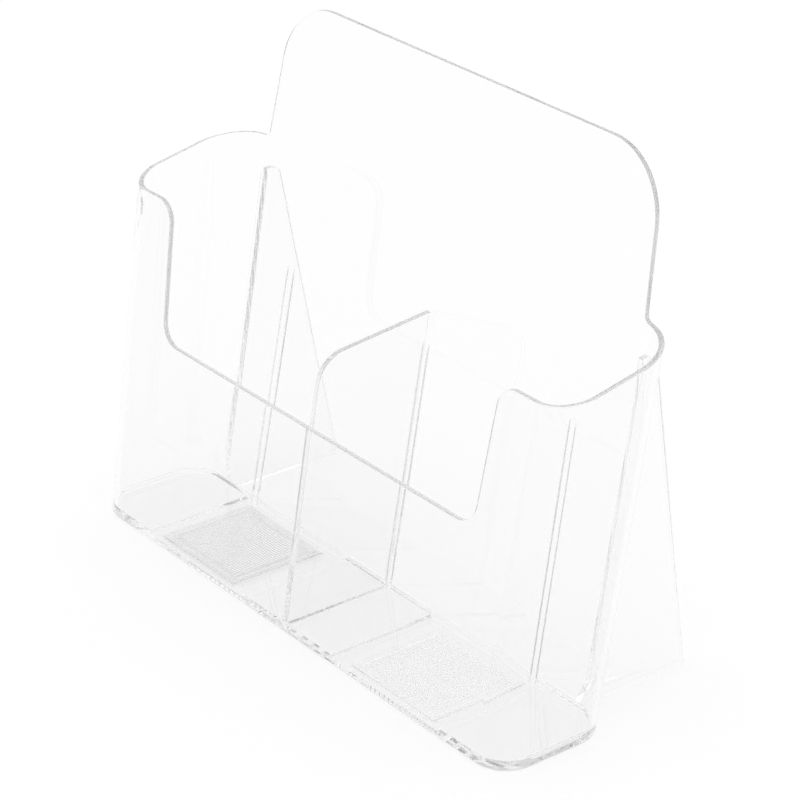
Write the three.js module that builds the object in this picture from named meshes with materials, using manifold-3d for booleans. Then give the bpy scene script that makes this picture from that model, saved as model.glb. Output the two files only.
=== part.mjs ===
// Clear desktop file sorter: a free-standing leaflet holder with two pockets side by side.
// One injection moulding (floor, low front wall, side walls, tall back panel, two rear support
// fins and two guide ribs) plus a lift-out centre divider and two textured floor mats. The
// moulding is built as its separate walls, a hair apart, so that each wall stays a simple solid.
//
// Millimetres, +Z up, +X to the right as seen from the front, +Y towards the back.
// The origin is on the table, in the middle of the footprint.

import * as THREE from 'three';
import { mergeVertices } from 'three/addons/utils/BufferGeometryUtils.js';
import Module from 'manifold-3d';

// ---- driving dimensions ----

const WALL = 2.0;              // wall thickness of the moulding
const FLOOR = 3.0;             // floor thickness on its raised pads
const GAP = 0.3;               // clearance between neighbouring solids

const BASE_HALF = 120;         // half width outside, at the table
const SIDE_DRAFT = 0.029;      // how far a side wall spreads per mm of height
const POCKET_DEPTH = 49.8;     // front face to the back panel's rear face, at the table
const FRONT_LEAN = 0.148;      // backward lean of the front wall, mm per mm of height
const BACK_LEAN = 0.162;       // backward lean of the back panel
const CORNER_RADIUS = 14;      // front corners, in plan

const FRONT_TOP = 77.8;        // top of the low front wall
const RIM_START = 125.2;       // side rim: height at the front face's foot line ...
const RIM_SLOPE = 0.207;       // ... and its rise per mm towards the back

const PANEL_TOP = 194.3;       // top of the back panel
const PANEL_HALF = 105.9;      // half width of the back panel at the table
const PANEL_TAPER = 0.018;     // narrowing of each panel edge per mm of height, up to the rim
const PANEL_TOP_HALF = 99.3;   // half width of the panel just under its top corners
const PANEL_CORNER = 25.5;     // top corner radius

const CUT_HALF = 89.8;         // half width of the front cutaway at its lower corners
const CUT_SPREAD = 2.2;        // extra half width at the cutaway's upper corners
const CUT_RADIUS = 8.5;        // all four cutaway corners
const FRONT_WALL_HALF = 80;    // where the low front wall meets the corner pieces

const RECESS_NEAR = 26.3;      // floor recess: edge towards the centre pad
const RECESS_FAR = 86.4;       // floor recess: edge towards the outer pad
const RECESS_DEPTH = 1.2;      // of the recesses, and of the divider's slot between the centre pads
const PLATE = FLOOR - RECESS_DEPTH;
const WALL_FOOT = PLATE + GAP; // walls and pads stand on the floor plate
const MAT = { width: 46, depth: 40, thickness: 0.9, middleX: 58.3, middleY: 24.6 };

const DIVIDER = { thickness: 2.4, rearTop: 108, topSlope: 0.108, corner: 13 };
const GROOVE_DEPTH = 0.8;      // divider groove in the front wall

const RIB = { half: 82.4, lean: -0.025, width: 4.6, height: 0.8, top: 97 };
const FIN = { thickness: 2.4, top: 127.6, topWidth: 5.8, reach: 100.4, foldHeight: 12.5 };
const FIN_PLANE = { x: 105.6, toeIn: -0.0848, spread: 0.0113 };
const FIN_FOLD = 0.34;         // inward slope of the folded strip along a fin's foot

const ARC_STEPS = 10;          // segments in a wall's quarter turn
const FINE_STEPS = 10;         // segments in the small outline corners

// ---- materials ----

const clearPlastic = new THREE.MeshStandardMaterial({
  color: 0xf3f5f6, roughness: 0.06, metalness: 0, transparent: true, opacity: 0.35,
});
const dividerPlastic = new THREE.MeshStandardMaterial({
  color: 0xf1f3f4, roughness: 0.08, metalness: 0, transparent: true, opacity: 0.4,
});
const matVinyl = new THREE.MeshStandardMaterial({ color: 0xc9cbcc, roughness: 0.55, metalness: 0 });

// ---- solids: closed three.js geometry in and out of the boolean kernel ----

const wasm = await Module();
wasm.setup();

function toSolid(geometry) {
  const bare = geometry.clone();
  bare.deleteAttribute('normal');
  bare.deleteAttribute('uv');
  const merged = mergeVertices(bare, 1e-4);
  return new wasm.Manifold(new wasm.Mesh({
    numProp: 3,
    vertProperties: new Float32Array(merged.attributes.position.array),
    triVerts: new Uint32Array(merged.index.array),
  }));
}

function toGeometry(solid) {
  const mesh = solid.getMesh();
  const geometry = new THREE.BufferGeometry();
  geometry.setAttribute('position', new THREE.BufferAttribute(mesh.vertProperties, 3));
  geometry.setIndex(new THREE.BufferAttribute(mesh.triVerts, 1));
  geometry.computeVertexNormals();
  return geometry;
}

function cut(geometry, ...tools) {
  return toGeometry(tools.reduce((solid, tool) => solid.subtract(toSolid(tool)), toSolid(geometry)));
}

function join(first, second) {
  return toGeometry(toSolid(first).add(toSolid(second)));
}

// Moves every vertex by a function of its place.
function warp(geometry, place) {
  const position = geometry.attributes.position;
  const point = new THREE.Vector3();
  for (let i = 0; i < position.count; i++) {
    point.fromBufferAttribute(position, i);
    place(point);
    position.setXYZ(i, point.x, point.y, point.z);
  }
  return geometry;
}

// Mirrors a closed geometry left to right and keeps its faces pointing out.
function mirrored(geometry) {
  const copy = mergeVertices(geometry.clone().deleteAttribute('normal').deleteAttribute('uv'), 1e-4);
  copy.scale(-1, 1, 1);
  const index = copy.index;
  for (let i = 0; i < index.count; i += 3) {
    const first = index.getX(i);
    index.setX(i, index.getX(i + 1));
    index.setX(i + 1, first);
  }
  copy.computeVertexNormals();
  return copy;
}

// ---- outlines ----

// A closed outline through corners [x, y, radius], each corner rounded by its radius.
function roundedOutline(corners) {
  const shape = new THREE.Shape();
  corners.forEach(([x, y, radius], i) => {
    const corner = new THREE.Vector2(x, y);
    const before = new THREE.Vector2(...corners.at(i - 1).slice(0, 2)).sub(corner).normalize();
    const after = new THREE.Vector2(...corners[(i + 1) % corners.length].slice(0, 2)).sub(corner).normalize();
    const halfAngle = Math.acos(before.dot(after)) / 2;
    const setback = radius / Math.tan(halfAngle);
    const start = before.clone().multiplyScalar(setback).add(corner);
    const end = after.clone().multiplyScalar(setback).add(corner);
    if (i === 0) shape.moveTo(start.x, start.y);
    else shape.lineTo(start.x, start.y);
    if (radius > 0) {
      const centre = before.clone().add(after).normalize()
        .multiplyScalar(radius / Math.sin(halfAngle)).add(corner);
      const turn = before.cross(after) > 0;
      shape.absarc(centre.x, centre.y, radius,
        start.clone().sub(centre).angle(), end.clone().sub(centre).angle(), turn);
    }
  });
  shape.closePath();
  return shape;
}

// A plate with its outline in the XZ plane, from y = nearY to nearY + thickness.
function plateFacingFront(shape, nearY, thickness) {
  const geometry = new THREE.ExtrudeGeometry(shape,
    { depth: thickness, bevelEnabled: false, curveSegments: FINE_STEPS });
  geometry.rotateX(Math.PI / 2);
  geometry.translate(0, nearY + thickness, 0);
  return geometry;
}

// A plate with its outline in the YZ plane, thickness centred on x = middleX.
function plateFacingSide(shape, middleX, thickness) {
  const geometry = new THREE.ExtrudeGeometry(shape,
    { depth: thickness, bevelEnabled: false, curveSegments: FINE_STEPS });
  geometry.rotateY(Math.PI / 2);
  geometry.rotateX(Math.PI / 2);
  geometry.translate(middleX - thickness / 2, 0, 0);
  return geometry;
}

// ---- the pocket's plan at height z: places on the right-hand half of its wall ----

const halfWidth = (z) => BASE_HALF + SIDE_DRAFT * z;
const panelHalf = (z) => PANEL_HALF - PANEL_TAPER * z;
const frontY = (z) => FRONT_LEAN * z;
const panelRearY = (z) => POCKET_DEPTH + BACK_LEAN * z;
const panelFrontY = (z) => panelRearY(z) - WALL;

// Each station gives, for a height, a point on the outer face and the direction into the wall.
const frontStation = (x) => (z) => ({ x, y: frontY(z), inX: 0, inY: 1 });

function frontArcStation(angle) {
  return (z) => ({
    x: halfWidth(z) - CORNER_RADIUS + CORNER_RADIUS * Math.sin(angle),
    y: frontY(z) + CORNER_RADIUS - CORNER_RADIUS * Math.cos(angle),
    inX: -Math.sin(angle),
    inY: Math.cos(angle),
  });
}

function rearArcStation(angle) {
  return (z) => {
    const radius = halfWidth(z) - panelHalf(z) - GAP;
    return {
      x: panelHalf(z) + GAP + radius * Math.cos(angle),
      y: panelRearY(z) - radius + radius * Math.sin(angle),
      inX: -Math.cos(angle),
      inY: -Math.sin(angle),
    };
  };
}

// Keeps a piece clear of the one before it along the wall.
function offsetAlong(station, distance) {
  return (z) => {
    const place = station(z);
    return { ...place, x: place.x + distance * place.inY, y: place.y - distance * place.inX };
  };
}

function quarterTurn(station) {
  return Array.from({ length: ARC_STEPS + 1 }, (_, i) => station((i / ARC_STEPS) * Math.PI / 2));
}

function rimHeight(station) {
  let height = RIM_START;
  for (let pass = 0; pass < 4; pass++) height = RIM_START + RIM_SLOPE * station(height).y;
  return height;
}

// A wall along a run of stations: a box with one column per station, bent into place.
function wallStrip(stations) {
  const columns = stations.length - 1;
  const geometry = new THREE.BoxGeometry(1, 1, 1, columns, 1, 1);
  return warp(geometry, (point) => {
    const station = stations[Math.round((point.x + 0.5) * columns)];
    const z = WALL_FOOT + (point.z + 0.5) * (rimHeight(station) - WALL_FOOT);
    const depth = (point.y + 0.5) * WALL;
    const place = station(z);
    point.set(place.x + depth * place.inX, place.y + depth * place.inY, z);
  });
}

// ---- sub-parts of the moulding ----

// The floor's outline, following the wall's outer face at the table.
function floorOutline() {
  const right = [...quarterTurn(frontArcStation), ...quarterTurn(rearArcStation)]
    .map((station) => station(0))
    .map(({ x, y }) => new THREE.Vector2(x, y));
  const left = right.map(({ x, y }) => new THREE.Vector2(-x, y)).reverse();
  return new THREE.Shape([...right, ...left]);
}

function floorPlate() {
  return new THREE.ExtrudeGeometry(floorOutline(), { depth: PLATE, bevelEnabled: false });
}

// A pad on the floor plate, between the walls.
function floorPad(corners) {
  const depth = FLOOR - WALL_FOOT;
  return new THREE.ExtrudeGeometry(new THREE.Shape(corners), { depth, bevelEnabled: false })
    .translate(0, 0, WALL_FOOT);
}

// A place a hair inside the wall at a station.
function insideWall({ x, y, inX, inY }) {
  const depth = WALL + GAP;
  return new THREE.Vector2(x + depth * inX, y + depth * inY);
}

function centrePad() {
  const near = insideWall(frontStation(0)(FLOOR)).y;
  const far = panelFrontY(WALL_FOOT) - GAP;
  const slotHalf = DIVIDER.thickness / 2 + GAP;
  return floorPad([[slotHalf, near], [RECESS_NEAR, near], [RECESS_NEAR, far], [slotHalf, far]]
    .map(([x, y]) => new THREE.Vector2(x, y)));
}

function endPad() {
  const front = quarterTurn(frontArcStation).map((station) => insideWall(station(FLOOR)));
  const rear = quarterTurn(rearArcStation).map((station) => insideWall(station(WALL_FOOT)));
  const recessEdge = [rear.at(-1), front[0]].map(({ y }) => new THREE.Vector2(RECESS_FAR, y));
  return floorPad([...front, ...rear, ...recessEdge]);
}

function frontWall() {
  const shape = roundedOutline([
    [-FRONT_WALL_HALF, WALL_FOOT, 0], [FRONT_WALL_HALF, WALL_FOOT, 0],
    [FRONT_WALL_HALF, FRONT_TOP, 0], [-FRONT_WALL_HALF, FRONT_TOP, 0],
  ]);
  const grooveWidth = DIVIDER.thickness + 2 * GAP;
  const groove = new THREE.BoxGeometry(grooveWidth, 2 * GROOVE_DEPTH, 2 * FRONT_TOP)
    .translate(0, WALL, FRONT_TOP);
  const wall = cut(plateFacingFront(shape, 0, WALL), groove);
  return warp(wall, (point) => { point.y += frontY(point.z); });
}

// The opening in the front: straight floor, two rounded lower corners, sides that spread a
// little, and two rounded shoulders where they run out into the rim.
function frontCutaway() {
  const shoulder = rimHeight(frontStation(CUT_HALF));
  const above = shoulder + 4 * CUT_RADIUS;
  const topHalf = CUT_HALF + CUT_SPREAD;
  const shape = new THREE.Shape();
  shape.moveTo(-topHalf - CUT_RADIUS, above);
  shape.lineTo(-topHalf - CUT_RADIUS, shoulder);
  shape.absarc(-topHalf - CUT_RADIUS, shoulder - CUT_RADIUS, CUT_RADIUS, Math.PI / 2, 0, true);
  shape.lineTo(-CUT_HALF, FRONT_TOP + CUT_RADIUS);
  shape.absarc(-CUT_HALF + CUT_RADIUS, FRONT_TOP + CUT_RADIUS, CUT_RADIUS, Math.PI, 1.5 * Math.PI, false);
  shape.absarc(CUT_HALF - CUT_RADIUS, FRONT_TOP + CUT_RADIUS, CUT_RADIUS, 1.5 * Math.PI, 2 * Math.PI, false);
  shape.lineTo(topHalf, shoulder - CUT_RADIUS);
  shape.absarc(topHalf + CUT_RADIUS, shoulder - CUT_RADIUS, CUT_RADIUS, Math.PI, Math.PI / 2, true);
  shape.lineTo(topHalf + CUT_RADIUS, above);
  shape.closePath();
  return plateFacingFront(shape, -WALL, POCKET_DEPTH);
}

function frontCorner() {
  const strip = wallStrip([frontStation(FRONT_WALL_HALF + GAP), ...quarterTurn(frontArcStation)]);
  return cut(strip, frontCutaway());
}

function sideWall() {
  const start = offsetAlong(frontArcStation(Math.PI / 2), GAP);
  return wallStrip([start, ...quarterTurn(rearArcStation)]);
}

function backPanel() {
  const shape = roundedOutline([
    [-panelHalf(WALL_FOOT), WALL_FOOT, 0], [panelHalf(WALL_FOOT), WALL_FOOT, 0],
    [panelHalf(FIN.top), FIN.top, 0],
    [PANEL_TOP_HALF, PANEL_TOP, PANEL_CORNER], [-PANEL_TOP_HALF, PANEL_TOP, PANEL_CORNER],
    [-panelHalf(FIN.top), FIN.top, 0],
  ]);
  const plate = plateFacingFront(shape, POCKET_DEPTH - WALL, WALL);
  return warp(plate, (point) => { point.y += BACK_LEAN * point.z; });
}

// A rear support: a flat triangular plate, toed in towards the back, whose foot is folded inward.
function supportFin() {
  const rootY = (z) => panelRearY(z) + GAP;
  const foldTop = (y) => FIN.foldHeight * (FIN.reach - y) / (FIN.reach - rootY(0));
  const upper = roundedOutline([
    [rootY(FIN.foldHeight), FIN.foldHeight, 0], [FIN.reach, 0, 0],
    [rootY(FIN.top) + FIN.topWidth, FIN.top, 4], [rootY(FIN.top), FIN.top, 0],
  ]);
  const lower = new THREE.Shape([
    new THREE.Vector2(rootY(0), 0),
    new THREE.Vector2(FIN.reach, 0),
    new THREE.Vector2(rootY(FIN.foldHeight), FIN.foldHeight + GAP),
  ]);
  const bend = (point) => {
    const belowFold = Math.max(0, foldTop(point.y) - point.z);
    point.x += FIN_PLANE.toeIn * (point.y - POCKET_DEPTH) + FIN_PLANE.spread * point.z
      - FIN_FOLD * belowFold;
  };
  const middle = FIN_PLANE.x - FIN.thickness / 2;
  const [main, foot] = [upper, lower]
    .map((shape) => warp(plateFacingSide(shape, middle, FIN.thickness), bend));
  return join(main, foot);
}

function guideRib() {
  const shape = new THREE.Shape([
    new THREE.Vector2(panelFrontY(WALL_FOOT) - GAP - RIB.height, WALL_FOOT),
    new THREE.Vector2(panelFrontY(WALL_FOOT) - GAP, WALL_FOOT),
    new THREE.Vector2(panelFrontY(RIB.top) - GAP, RIB.top),
    new THREE.Vector2(panelFrontY(RIB.top - RIB.height) - GAP - RIB.height, RIB.top - RIB.height),
  ]);
  const rib = plateFacingSide(shape, RIB.half, RIB.width);
  return warp(rib, (point) => { point.x += RIB.lean * point.z; });
}

// ---- loose pieces ----

function divider() {
  const near = (z) => frontY(z) + WALL - GROOVE_DEPTH + GAP;
  const far = (z) => panelFrontY(z) - GAP;
  const front = near(DIVIDER.rearTop);
  const frontTop = DIVIDER.rearTop - DIVIDER.topSlope * (far(DIVIDER.rearTop) - front);
  const shape = roundedOutline([
    [near(WALL_FOOT), WALL_FOOT, 0], [far(WALL_FOOT), WALL_FOOT, 0],
    [far(DIVIDER.rearTop), DIVIDER.rearTop, 0], [near(frontTop), frontTop, DIVIDER.corner],
  ]);
  return plateFacingSide(shape, 0, DIVIDER.thickness);
}

function floorMat(side) {
  return new THREE.BoxGeometry(MAT.width, MAT.depth, MAT.thickness)
    .translate(side * MAT.middleX, MAT.middleY, WALL_FOOT + MAT.thickness / 2);
}

// ---- assembly ----

const sorter = new THREE.Group();
sorter.position.y = -FIN.reach / 2;

function add(name, geometry, material) {
  const mesh = new THREE.Mesh(geometry, material);
  mesh.name = name;
  sorter.add(mesh);
}

function addPair(name, geometry, material) {
  add(`right_${name}`, geometry, material);
  add(`left_${name}`, mirrored(geometry), material);
}

add('floor_plate', floorPlate(), clearPlastic);
addPair('centre_pad', centrePad(), clearPlastic);
addPair('end_pad', endPad(), clearPlastic);
add('front_wall', frontWall(), clearPlastic);
add('back_panel', backPanel(), clearPlastic);
addPair('front_corner', frontCorner(), clearPlastic);
addPair('side_wall', sideWall(), clearPlastic);
addPair('support_fin', supportFin(), clearPlastic);
addPair('guide_rib', guideRib(), clearPlastic);
add('divider', divider(), dividerPlastic);
add('right_floor_mat', floorMat(1), matVinyl);
add('left_floor_mat', floorMat(-1), matVinyl);

export default sorter;
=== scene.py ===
from math import cos, pi, radians, sin, tan

import bmesh
import bpy
from mathutils import Matrix, Vector
from mathutils.geometry import delaunay_2d_cdt


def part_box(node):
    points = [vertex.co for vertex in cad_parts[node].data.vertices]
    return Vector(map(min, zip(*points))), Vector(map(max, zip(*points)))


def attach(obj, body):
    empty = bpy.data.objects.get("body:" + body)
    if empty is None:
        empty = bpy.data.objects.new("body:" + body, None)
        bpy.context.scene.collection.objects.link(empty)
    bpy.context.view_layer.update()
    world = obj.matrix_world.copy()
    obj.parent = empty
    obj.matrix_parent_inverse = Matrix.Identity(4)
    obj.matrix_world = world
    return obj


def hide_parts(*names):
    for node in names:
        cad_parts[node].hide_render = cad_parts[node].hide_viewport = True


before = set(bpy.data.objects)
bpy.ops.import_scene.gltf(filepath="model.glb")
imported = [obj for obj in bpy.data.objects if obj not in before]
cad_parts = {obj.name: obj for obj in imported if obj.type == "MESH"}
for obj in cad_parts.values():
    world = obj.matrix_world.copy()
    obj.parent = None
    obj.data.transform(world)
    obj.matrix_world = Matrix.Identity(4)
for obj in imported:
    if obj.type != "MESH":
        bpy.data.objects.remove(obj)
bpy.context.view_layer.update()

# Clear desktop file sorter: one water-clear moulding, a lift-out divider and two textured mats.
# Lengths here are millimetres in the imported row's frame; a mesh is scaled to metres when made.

MM = 0.001


def box_mm(node):
    """Lowest and highest corner of a CAD node, in millimetres."""
    low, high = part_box(node)
    return low / MM, high / MM


# ---- sizes read from the frame ----

PLATE_LOW, PLATE_HIGH = box_mm("floor_plate")
FRONT_LOW, FRONT_HIGH = box_mm("front_wall")
PANEL_LOW, PANEL_HIGH = box_mm("back_panel")
DIVIDER_LOW, DIVIDER_HIGH = box_mm("divider")
RIB_LOW, RIB_HIGH = box_mm("right_guide_rib")
PAD_HIGH = box_mm("right_centre_pad")[1]
FIN_HIGH = box_mm("right_support_fin")[1]

FRONT_Y = PLATE_LOW.y           # the front wall's outer face, at the table
REAR_Y = PLATE_HIGH.y           # the back panel's rear face, at the table
BASE_HALF = PLATE_HIGH.x        # half width at the table
FLOOR = PAD_HIGH.z              # top of the floor's pads
RECESS_FLOOR = PLATE_HIGH.z     # bottom of the floor's recesses and of the divider's slot
RECESS_NEAR = PAD_HIGH.x
FRONT_TOP = FRONT_HIGH.z
PANEL_TOP = PANEL_HIGH.z

# ---- the moulding's other sizes ----

WALL = 2.0
GAP = 0.3                       # clearance of the loose pieces
SIDE_DRAFT = 0.029              # spread of a side wall per mm of height
FRONT_LEAN = (FRONT_HIGH.y - WALL - FRONT_LOW.y) / (FRONT_HIGH.z - FRONT_LOW.z)
BACK_LEAN = (PANEL_HIGH.y - WALL - PANEL_LOW.y) / (PANEL_HIGH.z - PANEL_LOW.z)
CORNER = 14.0                   # front corners, in plan
SIDE_RUN, REAR_RUN = 20.0, 27.0         # unrolled lengths given to the side and the rear corner
PANEL_HALF, PANEL_TAPER = 105.9, 0.018  # half width at the table, and its loss per mm of height
PANEL_TOP_HALF, PANEL_CORNER = 99.3, 25.5
RIM_START, RIM_SLOPE = 125.2, 0.207     # side rim: height at the front, and its rise to the back
CUT_HALF, CUT_SPREAD, CUT_RADIUS = 89.8, 2.2, 8.5
NOTCH_RADIUS = 2.5              # fillet where the side rim meets the back panel's edge

EDGE_ROUND = 0.55               # rounding of the moulding's free edges
FOOT_ROUND = 1.3                # rounding under the moulding's outer face
EDGE_STEPS = 3
FILLET = 1.5                    # inside corner between floor and wall
BITE = 1.0                      # how deep an added solid reaches into what it joins or cuts

RECESS_FAR = 86.4
RECESS_DRAFT, RECESS_ROUND = 0.3, 0.35
GROOVE_DEPTH = 0.8              # of the divider's groove in the front wall

BEAD = 0.5                      # radius of a guide bead's crest
BEAD_HEIGHT = 0.8
RIB_WIDTH, RIB_LEAN = 4.6, -0.025
BEAD_FADE = ((3.0, 1.0), (1.5, 0.85), (0.4, 0.4), (0.0, 0.05))  # (mm below its top, share of height)
KEEPER_DROP = 12.0              # from the divider's rear top to the top of its keeper beads

FIN_THICK = 2.4
FIN_OUTER = 105.6               # a fin's outer face where it leaves the panel's foot
FIN_TOE_IN, FIN_SPREAD = 0.0848, 0.0113
FIN_TOP_WIDTH, FIN_TOP_RADIUS = 5.8, 4.5
FIN_FOLD, FIN_FOLD_TOP = 0.34, 12.5     # slope of the folded foot, and its height at the panel
FIN_ROUND = 0.3
ROOT_FILLET = 0.9
ROOT_FADE = ((3.0, 1.0), (1.2, 0.8))    # (mm below the fin's top, share of the fillet)

# ---- mesh helpers ----


def spread(start, end, count):
    """Evenly spaced values from start to end, both included."""
    return [start + (end - start) * i / count for i in range(count + 1)]


def arc(centre, radius, start, end, count):
    """Points on an arc, with angles in degrees."""
    return [(centre[0] + radius * cos(radians(a)), centre[1] + radius * sin(radians(a)))
            for a in spread(start, end, count)]


def rounded(corners, steps=8):
    """A closed outline through corners (x, y, radius), each corner turned in steps."""
    outline = []
    count = len(corners)
    for i, (x, y, radius) in enumerate(corners):
        corner = Vector((x, y))
        if radius == 0:
            outline.append(corner)
            continue
        before = (Vector(corners[i - 1][:2]) - corner).normalized()
        after = (Vector(corners[(i + 1) % count][:2]) - corner).normalized()
        half = before.angle(after) / 2
        centre = corner + (before + after).normalized() * radius / sin(half)
        start = corner + before * radius / tan(half) - centre
        turn = (pi - 2 * half) * (1 if start.cross(after) > 0 else -1)
        for k in range(steps + 1):
            angle = turn * k / steps
            spun = Vector((start.x * cos(angle) - start.y * sin(angle),
                           start.x * sin(angle) + start.y * cos(angle)))
            outline.append(centre + spun)
    return outline


def shade(obj, smooth_angle):
    """Smooth shading, with edges sharper than the angle kept sharp."""
    obj.data.shade_smooth()
    obj.data.set_sharp_from_angle(angle=radians(smooth_angle))


def new_object(name, points, faces, smooth_angle=35.0):
    """A closed mesh object from points in millimetres."""
    mesh = bpy.data.meshes.new(name)
    mesh.from_pydata([Vector(p) * MM for p in points], [], faces)
    obj = bpy.data.objects.new(name, mesh)
    bpy.context.scene.collection.objects.link(obj)
    work = bmesh.new()
    work.from_mesh(mesh)
    bmesh.ops.remove_doubles(work, verts=work.verts, dist=1e-6)
    bmesh.ops.recalc_face_normals(work, faces=work.faces)
    work.to_mesh(mesh)
    work.free()
    shade(obj, smooth_angle)
    return obj


def apply_modifiers(obj):
    """Replaces the object's mesh by its mesh after modifiers."""
    graph = bpy.context.evaluated_depsgraph_get()
    final = bpy.data.meshes.new_from_object(obj.evaluated_get(graph), depsgraph=graph)
    obj.modifiers.clear()
    old = obj.data
    obj.data = final
    final.name = old.name + "_final"
    bpy.data.meshes.remove(old)


def even_normals(obj):
    """Lets the broad faces set the normals, so flat walls shade flat up to their rounded edges."""
    modifier = obj.modifiers.new("even", "WEIGHTED_NORMAL")
    modifier.mode = "FACE_AREA"
    modifier.weight = 100
    modifier.keep_sharp = True
    apply_modifiers(obj)


def bevel_edges(obj, width, segments, angle=30.0):
    """Rounds every edge sharper than the angle."""
    modifier = obj.modifiers.new("bevel", "BEVEL")
    modifier.width = width * MM
    modifier.segments = segments
    modifier.limit_method = "ANGLE"
    modifier.angle_limit = radians(angle)
    modifier.use_clamp_overlap = True
    apply_modifiers(obj)


def combine(obj, others, operation):
    """Joins the others to obj, or cuts them from it, and removes them."""
    for other in others:
        modifier = obj.modifiers.new(operation, "BOOLEAN")
        modifier.operation = operation
        modifier.solver = "MANIFOLD"
        modifier.object = other
        apply_modifiers(obj)
        bpy.data.objects.remove(other)


def loft(name, rings, smooth_angle=35.0):
    """A closed solid through rings of equally many points, capped at both ends."""
    points = [point for ring in rings for point in ring]
    count = len(rings[0])
    faces = []
    for row in range(len(rings) - 1):
        for i in range(count):
            a, b = row * count + i, row * count + (i + 1) % count
            faces.append((a, b, b + count, a + count))
    last = (len(rings) - 1) * count
    faces.append(tuple(reversed(range(count))))
    faces.append(tuple(range(last, last + count)))
    return new_object(name, points, faces, smooth_angle)


# ---- the pocket's wall, unrolled: s runs round the right half, front middle to rear middle ----

S_CORNER = BASE_HALF - CORNER          # the front corner starts
S_SIDE = S_CORNER + CORNER * pi / 2    # the side wall starts
S_REAR = S_SIDE + SIDE_RUN             # the rear corner starts
S_PANEL = S_REAR + REAR_RUN            # the back panel's edge
S_END = S_PANEL + PANEL_HALF           # the middle of the back panel

CORNER_COLUMNS = spread(S_CORNER, S_SIDE, 20)
REAR_COLUMNS = spread(S_REAR, S_PANEL, 24)
COLUMNS = (spread(0, S_CORNER, 6)[:-1] + CORNER_COLUMNS + REAR_COLUMNS
           + spread(S_PANEL, S_END, 6)[1:])
ROW_STEP = 11.0                        # height between the curved walls' rows of points


def half_width(z):
    return BASE_HALF + SIDE_DRAFT * z


def panel_half(z):
    return PANEL_HALF - PANEL_TAPER * z


def front_y(z):
    return FRONT_Y + FRONT_LEAN * z


def rear_y(z):
    return REAR_Y + BACK_LEAN * z


def wall_point(s, z, depth):
    """The place on the wall at s along it, z up and depth in from its outer face."""
    rear_radius = half_width(z) - panel_half(z)
    corner_y, rear_centre_y = front_y(z) + CORNER, rear_y(z) - rear_radius
    if s <= S_CORNER:
        x = s / S_CORNER * (half_width(z) - CORNER)
        return Vector((x, front_y(z) + depth, z))
    if s <= S_SIDE:
        angle = (s - S_CORNER) / (S_SIDE - S_CORNER) * pi / 2
        radius = CORNER - depth
        return Vector((half_width(z) - CORNER + radius * sin(angle), corner_y - radius * cos(angle), z))
    if s <= S_REAR:
        share = (s - S_SIDE) / (S_REAR - S_SIDE)
        return Vector((half_width(z) - depth, corner_y + share * (rear_centre_y - corner_y), z))
    if s <= S_PANEL:
        angle = (s - S_REAR) / (S_PANEL - S_REAR) * pi / 2
        radius = rear_radius - depth
        return Vector((panel_half(z) + radius * cos(angle), rear_centre_y + radius * sin(angle), z))
    share = (S_END - s) / (S_END - S_PANEL)
    return Vector((share * panel_half(z), rear_y(z) - depth, z))


def front_s(x, z):
    """Where the front wall's place x lies along the wall."""
    return x * S_CORNER / (half_width(z) - CORNER)


def panel_s(x, z):
    """Where the back panel's place x lies along the wall."""
    return S_END - x / panel_half(z) * (S_END - S_PANEL)


def rim_height(s):
    """Height of the side rim above the wall's place s, found in a few passes."""
    z = RIM_START
    for _ in range(4):
        z = RIM_START + RIM_SLOPE * (wall_point(s, z, 0).y - FRONT_Y)
    return z


def top_edge():
    """The wall's free top edge as (s, z) points, from front middle to rear middle."""
    shoulder = rim_height(0)
    cut_top_half = CUT_HALF + CUT_SPREAD
    cut = arc((CUT_HALF - CUT_RADIUS, FRONT_TOP + CUT_RADIUS), CUT_RADIUS, -90, 0, 10)
    cut += arc((cut_top_half + CUT_RADIUS, shoulder - CUT_RADIUS), CUT_RADIUS, 180, 90, 10)
    edge = [(0.0, FRONT_TOP)] + [(front_s(x, z), z) for x, z in cut]
    rim_columns = [s for s in CORNER_COLUMNS + REAR_COLUMNS[1:] if s < S_PANEL - NOTCH_RADIUS]
    edge += [(s, rim_height(s)) for s in rim_columns]
    rim_end = rim_height(S_PANEL)
    edge += arc((S_PANEL - NOTCH_RADIUS, rim_end + NOTCH_RADIUS), NOTCH_RADIUS, -90, 0, 6)
    side = rounded([(panel_half(rim_end), rim_end, 0), (PANEL_TOP_HALF, PANEL_TOP, PANEL_CORNER),
                    (0, PANEL_TOP, 0)], 16)
    edge += [(panel_s(x, z), z) for x, z in side if z > rim_end + 1.5 * NOTCH_RADIUS]
    return edge


def inset(edge, distance):
    """The open edge moved by distance to its right-hand side, which is the wall's material."""
    sharpest = 0.3              # keeps a sharp corner from shooting out
    moved = []
    last = len(edge) - 1
    for i, (s, z) in enumerate(edge):
        before = Vector(edge[i]) - Vector(edge[i - 1]) if i > 0 else None
        after = Vector(edge[i + 1]) - Vector(edge[i]) if i < last else None
        before = (before or after).normalized()
        after = (after or before).normalized()
        along = (before + after).normalized()
        reach = distance / max(sharpest, along.dot(before))
        moved.append((s + along.y * reach, z - along.x * reach))
    moved[0] = (edge[0][0], moved[0][1])
    moved[-1] = (edge[-1][0], moved[-1][1])
    return moved


def quarter_turn(radius):
    """Steps round an outer edge: (distance in from the edge, depth below the outer face)."""
    return [(radius * (1 - sin(a)), radius * (1 - cos(a))) for a in spread(0, pi / 2, EDGE_STEPS)]


def edge_profile():
    """Steps over a free edge, from the wall's outer face to its inner face."""
    outer = quarter_turn(EDGE_ROUND)
    return outer + [(d, WALL - depth) for d, depth in reversed(outer)]


def foot_profile():
    """Steps under the wall, from its rounded outer face to its inner face."""
    return quarter_turn(FOOT_ROUND) + [(0.0, WALL), (FOOT_ROUND, WALL)]


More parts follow.
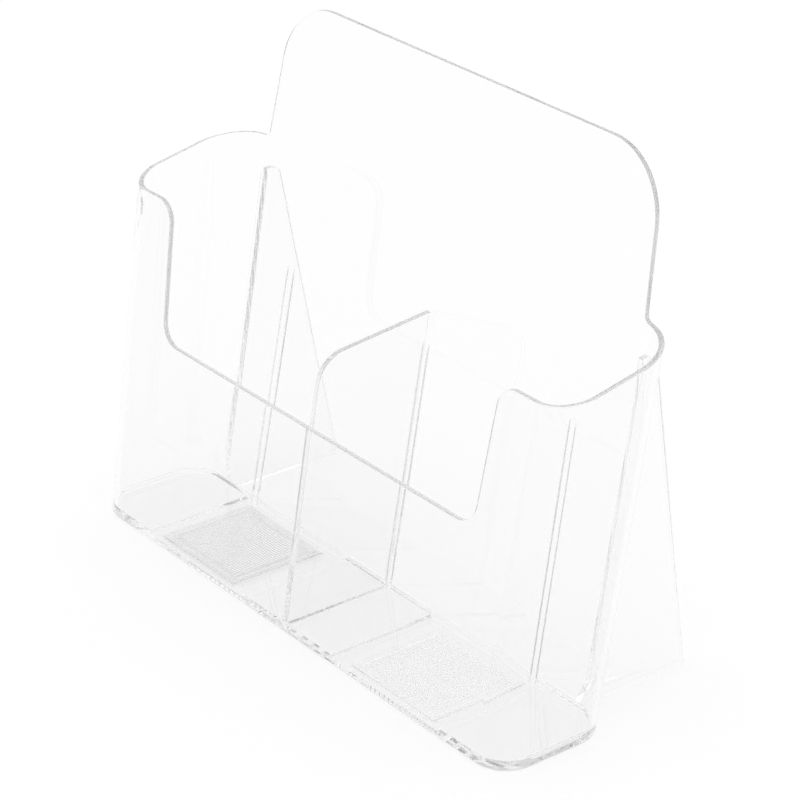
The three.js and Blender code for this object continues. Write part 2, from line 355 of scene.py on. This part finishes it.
def face_triangles(top, foot):
    """Triangles of the unrolled wall between its inset top edge and its foot line."""
    same_column, clear_of_edge, merge = 0.02, 2.0, 1e-6
    loop = [Vector(p) for p in top] + [Vector(p) for p in reversed(foot)]
    count = len(loop)
    points = list(loop)
    edges = [(i, (i + 1) % count) for i in range(count)]
    for s in CORNER_COLUMNS + REAR_COLUMNS:
        limit = min((z for t, z in top if abs(t - s) < same_column), default=None)
        if limit is None:
            limit = rim_height(s) - EDGE_ROUND - 2 * NOTCH_RADIUS
        z = foot[0][1] + ROW_STEP
        previous = None
        while z < limit - clear_of_edge:
            points.append(Vector((s, z)))
            if previous is not None:
                edges.append((previous, len(points) - 1))
            previous = len(points) - 1
            z += ROW_STEP
    out_points, _, triangles, *_ = delaunay_2d_cdt(points, edges, [list(range(count))], 1, merge)
    return out_points, triangles


def half_wall():
    """Points and faces of the right-hand half of the pocket's wall, foot to rim, both faces."""
    edge = top_edge()
    top_rings = [inset(edge, d) for d, _ in edge_profile()]
    foot_rings = [[(s, d) for s in COLUMNS] for d, _ in foot_profile()]
    flat, triangles = face_triangles(top_rings[0], foot_rings[0])
    points, faces = [], []
    for depth, order in ((0.0, 1), (WALL, -1)):
        start = len(points)
        points += [wall_point(p.x, p.y, depth) for p in flat]
        faces += [tuple(start + i for i in triangle[::order]) for triangle in triangles]
    for rings, profile, order in ((top_rings, edge_profile(), -1), (foot_rings, foot_profile(), 1)):
        start = len(points)
        for ring, (_, depth) in zip(rings, profile):
            points += [wall_point(s, z, depth) for s, z in ring]
        width = len(rings[0])
        for row in range(len(rings) - 1):
            for i in range(width - 1):
                a = start + row * width + i
                faces.append((a, a + 1, a + width + 1, a + width)[::order])
    return points, faces


def pocket_wall():
    """The whole wall: the right half and its mirror image."""
    points, faces = half_wall()
    count = len(points)
    mirrored = [Vector((-p.x, p.y, p.z)) for p in points]
    faces = faces + [tuple(count + i for i in reversed(face)) for face in faces]
    return new_object("holder_moulding", points + mirrored, faces)


# ---- floor ----


def plan_outline(depth):
    """The pocket's outline at the table, at a depth into its wall, right side then left."""
    right = [wall_point(s, 0, depth) for s in COLUMNS[1:-1]]
    left = [Vector((-p.x, p.y, p.z)) for p in reversed(right)]
    return [(p.x, p.y) for p in right + left]


def floor_plate():
    """The floor, with a small fillet round its edge as for upright walls.

    The front wall leans over the top of its fillet. The back panel leans away from the floor's upright
    rear side, which leaves a crevice up to 0.4 mm wide behind the fillet there.
    """
    inside_wall = (FOOT_ROUND + WALL) / 2
    layers = [(inside_wall, 0.0), (inside_wall, FLOOR + FILLET), (WALL, FLOOR + FILLET)]
    layers += [(WALL + FILLET * (1 - cos(a)), FLOOR + FILLET * (1 - sin(a)))
               for a in spread(0, pi / 2, 4)[1:]]
    rings = [[(x, y, z) for x, y in plan_outline(depth)] for depth, z in layers]
    return loft("floor_plate", rings)


def recess_cutter(side):
    """The space of a floor recess, with a rounded foot and a little draft."""
    above = FLOOR + BITE
    profile = rounded([(RECESS_NEAR, RECESS_FLOOR, RECESS_ROUND), (RECESS_FAR, RECESS_FLOOR, RECESS_ROUND),
                       (RECESS_FAR + RECESS_DRAFT, above, 0), (RECESS_NEAR - RECESS_DRAFT, above, 0)], 3)
    return loft("recess", [[(side * x, y, z) for x, z in profile] for y in (FRONT_Y + WALL, REAR_Y - WALL)])


def divider_cutters():
    """The divider's slot in the floor and its groove in the front wall.

    The slot stops short of the floor's rear side and of the fillet's top, so the divider's rear foot
    crosses what is left there, by up to 0.45 mm.
    """
    half = (DIVIDER_HIGH.x - DIVIDER_LOW.x) / 2 + GAP
    in_wall = WALL - GROOVE_DEPTH
    above = FLOOR + BITE
    section = [(-half, RECESS_FLOOR), (half, RECESS_FLOOR), (half, above), (-half, above)]
    slot = loft("slot", [[(x, y, z) for x, z in section] for y in (FRONT_Y + in_wall, REAR_Y - WALL)])
    clear_above = 10.0
    foot, top = FLOOR, FRONT_TOP + clear_above
    side_view = [(front_y(foot) + in_wall, RECESS_FLOOR), (front_y(foot) + WALL + BITE, RECESS_FLOOR),
                 (front_y(top) + WALL + BITE, top), (front_y(top) + in_wall, top)]
    groove = loft("groove", [[(x, y, z) for y, z in side_view] for x in (-half, half)])
    return [slot, groove]


# ---- guide beads and fins ----


def guide_bead(foot_x, lean, top):
    """A thin bead up the back panel's front face, run out into it at the top."""
    outline = [(BEAD, 0.0)] + arc((0, BEAD_HEIGHT - BEAD), BEAD, 0, 180, 6) + [(-BEAD, 0.0)]
    rings = []
    for z, share in [(RECESS_FLOOR - BITE / 2, 1.0)] + [(top - drop, share) for drop, share in BEAD_FADE]:
        face, middle = rear_y(z) - WALL, foot_x + lean * z
        ring = [(middle + u, face - v * share, z) for u, v in outline]
        rings.append(ring + [(middle + u, face + BITE, z) for u in (-BEAD, BEAD)])
    return loft("bead", rings)


def guide_beads():
    """Each guide rib is a pair of beads, and one more pair keeps the divider's rear edge."""
    rib_foot = RIB_HIGH.x - RIB_WIDTH / 2 - RIB_LEAN * RIB_LOW.z
    reach = RIB_WIDTH / 2 - BEAD
    beads = [guide_bead(side * (rib_foot + offset), side * RIB_LEAN, RIB_HIGH.z)
             for side in (1, -1) for offset in (-reach, reach)]
    keeper = DIVIDER_HIGH.x + GAP + BEAD
    return beads + [guide_bead(side * keeper, 0, DIVIDER_HIGH.z - KEEPER_DROP) for side in (1, -1)]


def fin_middle(y, z):
    """Distance of a fin's middle plane from the holder's middle, above its folded foot."""
    return FIN_OUTER - FIN_THICK / 2 - FIN_TOE_IN * (y - REAR_Y) + FIN_SPREAD * z


def fin_root(side):
    """The filleted root of a support fin, up the back panel's rear face."""
    flare = [(FIN_THICK / 2 + ROOT_FILLET * (1 - sin(a)), ROOT_FILLET * (1 - cos(a)))
             for a in map(radians, (0, 22, 45, 68, 90))]
    half = [(FIN_THICK / 2 + ROOT_FILLET, -WALL / 2)] + flare
    outline = half + [(-u, v) for u, v in reversed(half)]
    top = FIN_HIGH.z
    rings = []
    for z, share in [(FIN_FOLD_TOP, 1.0)] + [(top - drop, share) for drop, share in ROOT_FADE]:
        middle = fin_middle(rear_y(z), z)
        rings.append([(side * (middle + u * share), rear_y(z) + v * share, z) for u, v in outline])
    return loft("fin_root", rings)


def support_fin(side):
    """A rear support plate, toed in towards the back, whose foot is folded inward."""
    reach, top = FIN_HIGH.y, FIN_HIGH.z

    def fold_top(y):
        return FIN_FOLD_TOP * (reach - y) / (reach - REAR_Y)

    def place(y, z, offset):
        below_fold = max(0.0, fold_top(y) - z)
        return (side * (fin_middle(y, z) + offset - FIN_FOLD * below_fold), y, z)

    root_low, root_fold, root_top = (rear_y(z) - WALL / 2 for z in (0, FIN_FOLD_TOP, top))
    upper = rounded([(root_fold, fold_top(root_fold), 0), (reach, 0, 0),
                     (rear_y(top) + FIN_TOP_WIDTH, top, FIN_TOP_RADIUS), (root_top, top, 0)], 6)
    outline = [tuple(p) for p in upper] + [(root_low, 0.0)]
    count = len(outline)
    points = [place(y, z, offset) for offset in (-FIN_THICK / 2, FIN_THICK / 2) for y, z in outline]
    main = tuple(range(count - 1))
    foot = (0, count - 1, 1)
    faces = []
    for start, order in ((0, 1), (count, -1)):
        faces.append(tuple(start + i for i in main[::order]))
        faces.append(tuple(start + i for i in foot[::order]))
    border = [(i, i + 1) for i in range(1, count - 2)] + [(count - 2, 0), (0, count - 1), (count - 1, 1)]
    faces += [(a, b, b + count, a + count) for a, b in border]
    fin = new_object("fin", points, faces)
    bevel_edges(fin, FIN_ROUND, 2)
    return fin


def finish_surface(obj):
    """Smooth roundings between flat faces."""
    shade(obj, smooth_angle=40)
    even_normals(obj)


def moulding():
    """The whole holder as one continuous solid."""
    body = pocket_wall()
    floor = floor_plate()
    combine(floor, [recess_cutter(1), recess_cutter(-1)], "DIFFERENCE")
    combine(body, [floor], "UNION")
    combine(body, divider_cutters(), "DIFFERENCE")
    for side in (1, -1):
        combine(body, [support_fin(side), fin_root(side)], "UNION")
    combine(body, guide_beads(), "UNION")
    finish_surface(body)
    return body


# ---- loose pieces ----


def divider():
    """The lift-out plate, as the CAD's, with rounded edges."""
    top_slope, front_radius, edge_round = 0.108, 13, 0.35
    foot, rear_top = DIVIDER_LOW.z, DIVIDER_HIGH.z

    def near(z):
        return front_y(z) + WALL - GROOVE_DEPTH + GAP

    def far(z):
        return rear_y(z) - WALL - GAP

    front_top = rear_top - top_slope * (far(rear_top) - near(rear_top))
    outline = rounded([(near(foot), foot, 0), (far(foot), foot, 0), (far(rear_top), rear_top, 0),
                       (near(front_top), front_top, front_radius)], 14)
    plate = loft("divider_plate", [[(x, y, z) for y, z in outline] for x in (DIVIDER_LOW.x, DIVIDER_HIGH.x)])
    bevel_edges(plate, edge_round, 3)
    finish_surface(plate)
    return plate


def floor_mat(side_name):
    """A thin mat: a stepped smooth border round a square knurl of small hollow pyramids."""
    low, high = box_mm(side_name + "_floor_mat")
    middle = (low + high) / 2
    half = (high - low) / 2
    thickness = high.z - low.z
    # border rings from the mat's foot inward: (distance in from the edge, share of the thickness)
    border = [(0.0, 0.0), (0.0, 0.4), (0.3, 0.55), (1.6, 0.55), (1.9, 0.8), (2.9, 0.8), (3.2, 0.6),
              (4.2, 0.6), (4.5, 0.8)]
    pitch, hollow = 1.15, 0.2
    knurl_inset, knurl_height = border[-1]
    columns = round(2 * (half.x - knurl_inset) / pitch)
    rows = round(2 * (half.y - knurl_inset) / pitch)

    def grid_point(i, j, inward, height):
        reach_x, reach_y = half.x - inward, half.y - inward
        return (middle.x + reach_x * (2 * i / columns - 1), middle.y + reach_y * (2 * j / rows - 1),
                low.z + height * thickness)

    rim = [(i, 0) for i in range(columns)] + [(columns, j) for j in range(rows)]
    rim += [(i, rows) for i in range(columns, 0, -1)] + [(0, j) for j in range(rows, 0, -1)]
    points = [grid_point(i, j, inward, height) for inward, height in border for i, j in rim]
    count = len(rim)
    faces = []
    for ring in range(len(border) - 1):
        for k in range(count):
            a, b = ring * count + k, ring * count + (k + 1) % count
            faces.append((a, b, b + count, a + count))
    faces.append(tuple(reversed(range(count))))
    start = len(points)
    points += [grid_point(i, j, knurl_inset, knurl_height)
               for j in range(rows + 1) for i in range(columns + 1)]
    width = columns + 1
    for j in range(rows):
        for i in range(columns):
            a = start + j * width + i
            corners = (a, a + 1, a + width + 1, a + width)
            points.append(grid_point(i + 0.5, j + 0.5, knurl_inset, knurl_height - hollow / thickness))
            faces += [(corners[k], corners[(k + 1) % 4], len(points) - 1) for k in range(4)]
    return new_object(side_name + "_mat", points, faces, 20)


# ---- materials ----


def glassy_material(name, tint, ior):
    """A see-through material: it, its shader and its output."""
    material = bpy.data.materials.new(name)
    material.use_nodes = True
    nodes = material.node_tree.nodes
    nodes.clear()
    output = nodes.new("ShaderNodeOutputMaterial")
    shader = nodes.new("ShaderNodeBsdfPrincipled")
    shader.inputs["Base Color"].default_value = tint
    shader.inputs["IOR"].default_value = ior
    shader.inputs["Transmission Weight"].default_value = 1.0
    return material, shader, output


def noise(material, scale, detail):
    """Noise fixed to the piece."""
    nodes, links = material.node_tree.nodes, material.node_tree.links
    coordinates = nodes.new("ShaderNodeTexCoord")
    texture = nodes.new("ShaderNodeTexNoise")
    texture.inputs["Scale"].default_value = scale
    texture.inputs["Detail"].default_value = detail
    links.new(coordinates.outputs["Object"], texture.inputs["Vector"])
    return texture.outputs["Fac"]


def let_lamps_through(material, shader, output, veil_colour):
    """Lights the table through the plastic, with a faint shadow in place of noisy caustics."""
    nodes, links = material.node_tree.nodes, material.node_tree.links
    rays = nodes.new("ShaderNodeLightPath")
    stray = nodes.new("ShaderNodeMath")
    stray.operation = "MAXIMUM"
    veil = nodes.new("ShaderNodeBsdfTransparent")
    veil.inputs["Color"].default_value = veil_colour
    mix = nodes.new("ShaderNodeMixShader")
    links.new(rays.outputs["Is Shadow Ray"], stray.inputs[0])
    links.new(rays.outputs["Is Diffuse Ray"], stray.inputs[1])
    links.new(stray.outputs["Value"], mix.inputs["Fac"])
    links.new(shader.outputs["BSDF"], mix.inputs[1])
    links.new(veil.outputs["BSDF"], mix.inputs[2])
    links.new(mix.outputs["Shader"], output.inputs["Surface"])


def clear_plastic(name):
    """Water-clear styrene: polished faces with a faint moulded waviness, greyer through its edges."""
    material, shader, output = glassy_material(name, (0.982, 0.982, 0.982, 1), 1.5)
    nodes, links = material.node_tree.nodes, material.node_tree.links
    shader.inputs["Roughness"].default_value = 0.0
    bump = nodes.new("ShaderNodeBump")
    bump.inputs["Strength"].default_value = 0.04
    bump.inputs["Distance"].default_value = 0.002
    links.new(noise(material, 22.0, 1.0), bump.inputs["Height"])
    links.new(bump.outputs["Normal"], shader.inputs["Normal"])
    let_lamps_through(material, shader, output, (0.975, 0.975, 0.975, 1))
    absorption = nodes.new("ShaderNodeVolumeAbsorption")
    absorption.inputs["Color"].default_value = (0.5, 0.5, 0.5, 1)
    absorption.inputs["Density"].default_value = 2.6
    links.new(absorption.outputs["Volume"], output.inputs["Volume"])
    return material


def mat_vinyl(name, tint):
    """Translucent soft vinyl, its polish broken by a fine grain."""
    material, shader, output = glassy_material(name, tint, 1.45)
    nodes, links = material.node_tree.nodes, material.node_tree.links
    grain_to_roughness = nodes.new("ShaderNodeMapRange")
    grain_to_roughness.inputs["To Min"].default_value = 0.07
    grain_to_roughness.inputs["To Max"].default_value = 0.13
    links.new(noise(material, 900.0, 2.0), grain_to_roughness.inputs["Value"])
    links.new(grain_to_roughness.outputs["Result"], shader.inputs["Roughness"])
    let_lamps_through(material, shader, output, tint)
    return material


def white_table():
    """A matt white surface."""
    material = bpy.data.materials.new("white_table")
    material.use_nodes = True
    shader = material.node_tree.nodes["Principled BSDF"]
    shader.inputs["Base Color"].default_value = (0.93, 0.93, 0.93, 1)
    shader.inputs["Roughness"].default_value = 0.9
    shader.inputs["Specular IOR Level"].default_value = 0.0
    return material


# ---- stage, light, camera: in metres ----


def table():
    """A wide pale table, a hair below the holder."""
    half, drop = 6.0, 0.0002
    corners = [(-half, -half, 0), (half, -half, 0), (half, half, 0), (-half, half, 0)]
    mesh = bpy.data.meshes.new("table")
    mesh.from_pydata(corners, [], [(0, 1, 2, 3)])
    mesh.materials.append(white_table())
    obj = bpy.data.objects.new("table", mesh)
    obj.location.z = -drop
    bpy.context.scene.collection.objects.link(obj)


def lighting():
    """A white surround and one broad soft lamp overhead."""
    world = bpy.data.worlds.new("studio")
    bpy.context.scene.world = world
    world.use_nodes = True
    background = world.node_tree.nodes["Background"]
    background.inputs["Color"].default_value = (1, 1, 1, 1)
    background.inputs["Strength"].default_value = 1.0
    light = bpy.data.lights.new("overhead", "AREA")
    light.shape = "SQUARE"
    light.size = 4.0
    light.energy = 9.0
    lamp = bpy.data.objects.new("overhead", light)
    lamp.location.z = 2.2
    bpy.context.scene.collection.objects.link(lamp)


def camera():
    """Looks at aim from the front right and above; azimuth turns from the front to the right."""
    azimuth, elevation, roll = radians(51.476), radians(26.26), radians(0.635)
    aim = Vector((0.0671, -0.05135, 0.11903))
    distance = 0.9471
    data = bpy.data.cameras.new("camera")
    data.lens = 132.44
    data.sensor_width = 36.0
    back = Vector((sin(azimuth) * cos(elevation), -cos(azimuth) * cos(elevation), sin(elevation)))
    level_right = Vector((0, 0, 1)).cross(back).normalized()
    level_up = back.cross(level_right)
    right = level_right * cos(roll) + level_up * sin(roll)
    up = level_up * cos(roll) - level_right * sin(roll)
    eye = bpy.data.objects.new("camera", data)
    turned = Matrix((right, up, back)).transposed().to_4x4()
    eye.matrix_world = Matrix.Translation(aim + back * distance) @ turned
    bpy.context.scene.collection.objects.link(eye)
    bpy.context.scene.camera = eye


def light_paths():
    """Long paths, because light runs far inside a clear wall before it leaves by an edge."""
    scene = bpy.context.scene
    scene.view_settings.view_transform = "Standard"
    scene.cycles.max_bounces = 256
    scene.cycles.transmission_bounces = 128
    scene.cycles.glossy_bounces = 256
    scene.cycles.transparent_max_bounces = 48
    scene.cycles.caustics_reflective = False
    scene.cycles.caustics_refractive = False


# ---- assembly ----


def finish_piece(piece, body, slot, material, *nodes):
    """Gives a piece its material and puts it in the place of its CAD nodes."""
    piece.data.materials.clear()
    piece.data.materials.append(material)
    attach(piece, body)
    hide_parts(*nodes)


finish_piece(moulding(), "holder", "clear_moulding", clear_plastic("clear_moulding"),
             "floor_plate", "right_centre_pad", "left_centre_pad", "right_end_pad", "left_end_pad",
             "front_wall", "back_panel", "right_front_corner", "left_front_corner",
             "right_side_wall", "left_side_wall", "right_support_fin", "left_support_fin",
             "right_guide_rib", "left_guide_rib")
finish_piece(divider(), "divider", "clear_divider", clear_plastic("clear_divider"), "divider")
# The two mats are the same vinyl. The left one's darker tint is painted shade that makes it look shaded
# beside the right one.
for side_name, tint in (("right", (1.0, 1.0, 1.0, 1)), ("left", (0.93, 0.93, 0.931, 1))):
    finish_piece(floor_mat(side_name), "holder", "textured_mat",
                 mat_vinyl("mat_vinyl_" + side_name, tint), side_name + "_floor_mat")

table()
lighting()
camera()
light_paths()
